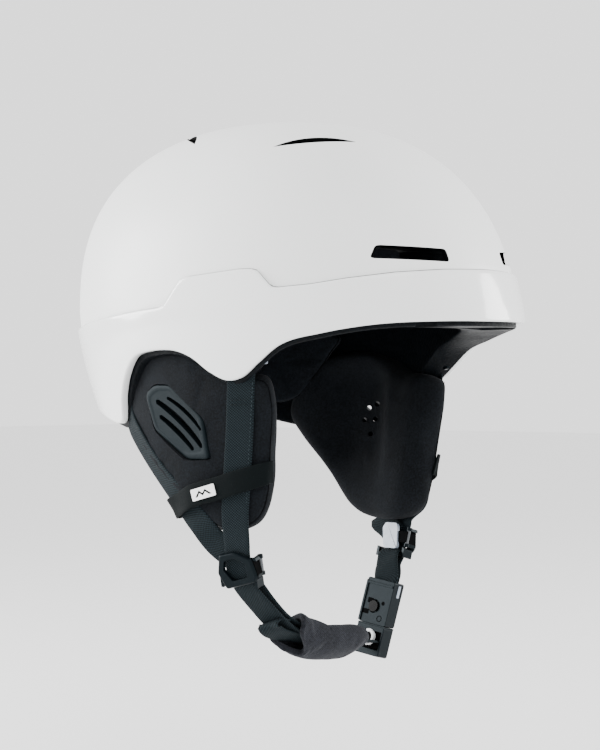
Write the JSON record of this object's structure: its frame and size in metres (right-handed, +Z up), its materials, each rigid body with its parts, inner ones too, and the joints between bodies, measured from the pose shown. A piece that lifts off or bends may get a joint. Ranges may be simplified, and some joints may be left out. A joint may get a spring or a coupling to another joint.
{
  "type": "ski helmet",
  "caption": "White hard-shell ski helmet with black foam liner, padded ear flaps, webbing chin strap, side dividers, magnetic buckle and rear dial fit system.",
  "frame": {"origin": "middle of the head opening, level with the front rim of the shell, on the mid plane", "axes": "+X forward, +Y to the wearer's left, +Z up"},
  "size_m": [0.2782, 0.207, 0.3077],
  "materials": {
    "white_matte": "satin",
    "white_gloss": "gloss",
    "foam": "moulded foam skin",
    "lining": "soft brushed",
    "ear_fabric": "jersey over foam",
    "chin_fabric": "fleece",
    "webbing": "woven",
    "elastic": "knitted",
    "print": "matte",
    "grille": "satin",
    "black_plastic": "satin",
    "grey_plastic": "satin",
    "steel": "bright"
  },
  "bodies": {
    "helmet": {"upper_shell": "white_matte", "lower_band": "white_gloss", "eps_liner": "foam", "brow_pad": "lining", "crown_pad": "lining", "side_pad_right": "lining", "side_pad_left": "lining", "nape_pad_right": "lining", "nape_pad_left": "lining", "headband_right": "black_plastic", "headband_left": "black_plastic", "headband_anchor_right": "black_plastic", "headband_anchor_left": "black_plastic", "ear_pad_right": "ear_fabric", "ear_pad_left": "ear_fabric", "ear_grille_right": "grille", "ear_grille_left": "grille", "ear_pad_tab_right": "black_plastic", "ear_pad_tab_left": "black_plastic", "front_strap_right": "webbing", "front_strap_left": "webbing", "rear_strap_right": "webbing", "rear_strap_left": "webbing", "divider_frame_right": "black_plastic", "divider_frame_left": "black_plastic", "lever_pin_right": "steel", "lever_pin_left": "steel", "keeper_band_right": "elastic", "keeper_band_left": "elastic", "band_label_right": "print", "band_label_left": "print", "chin_strap_left": "webbing", "buckle_receiver": "black_plastic", "receiver_magnet": "steel"},
    "cradle": {"fit_cradle": "black_plastic", "dial_housing": "black_plastic", "cradle_pad": "lining"},
    "dial": {"fit_dial": "black_plastic", "dial_pinion": "black_plastic"},
    "rack_left_body": {"rack_left": "black_plastic"},
    "rack_right_body": {"rack_right": "black_plastic"},
    "lever_right": {"divider_lever_right": "grey_plastic"},
    "lever_left": {"divider_lever_left": "grey_plastic"},
    "chin": {"chin_strap_right": "webbing", "chin_pad": "chin_fabric", "buckle_tongue": "black_plastic", "strap_pin": "steel", "strap_clip": "grey_plastic"},
    "button": {"release_button": "black_plastic"}
  },
  "joints": [
    {"name": "cradle_slide", "type": "slide", "parent": "helmet", "child": "cradle", "axis": [1, 0, 0], "range_m": [0, 0.012]},
    {"name": "dial_turn", "type": "hinge", "parent": "cradle", "child": "dial", "pos_m": [-0.103, 0, -0.044], "axis": [1, 0, 0], "range_deg": [0, 153]},
    {"name": "rack_left_slide", "type": "slide", "parent": "cradle", "child": "rack_left_body", "axis": [0, -1, 0], "range_m": [0, 0.012]},
    {"name": "rack_right_slide", "type": "slide", "parent": "cradle", "child": "rack_right_body", "axis": [0, 1, 0], "range_m": [0, 0.012]},
    {"name": "lever_right_hinge", "type": "hinge", "parent": "helmet", "child": "lever_right", "pos_m": [0.02869, -0.06978, -0.12945], "axis": [-0.0451, 0.2612, -0.9642], "range_deg": [0, 80]},
    {"name": "lever_left_hinge", "type": "hinge", "parent": "helmet", "child": "lever_left", "pos_m": [0.02379, 0.06678, -0.12195], "axis": [0.0451, 0.2612, 0.9642], "range_deg": [0, 80]},
    {"name": "chin_strap_swing", "type": "hinge", "parent": "helmet", "child": "chin", "pos_m": [0.01726, -0.06937, -0.13948], "axis": [-0.9829, -0.1702, 0.0701], "range_deg": [0, 45]},
    {"name": "button_press", "type": "slide", "parent": "helmet", "child": "button", "axis": [0, 0.9794, -0.2019], "range_m": [0, 0.0015], "stiffness_N_per_m": 400}
  ],
  "couplings": [
    {"joint": "dial_turn", "follows": "cradle_slide", "rad_per_m": 222.22},
    {"joint": "rack_left_slide", "follows": "cradle_slide", "ratio": 1},
    {"joint": "rack_right_slide", "follows": "cradle_slide", "ratio": 1}
  ]
}
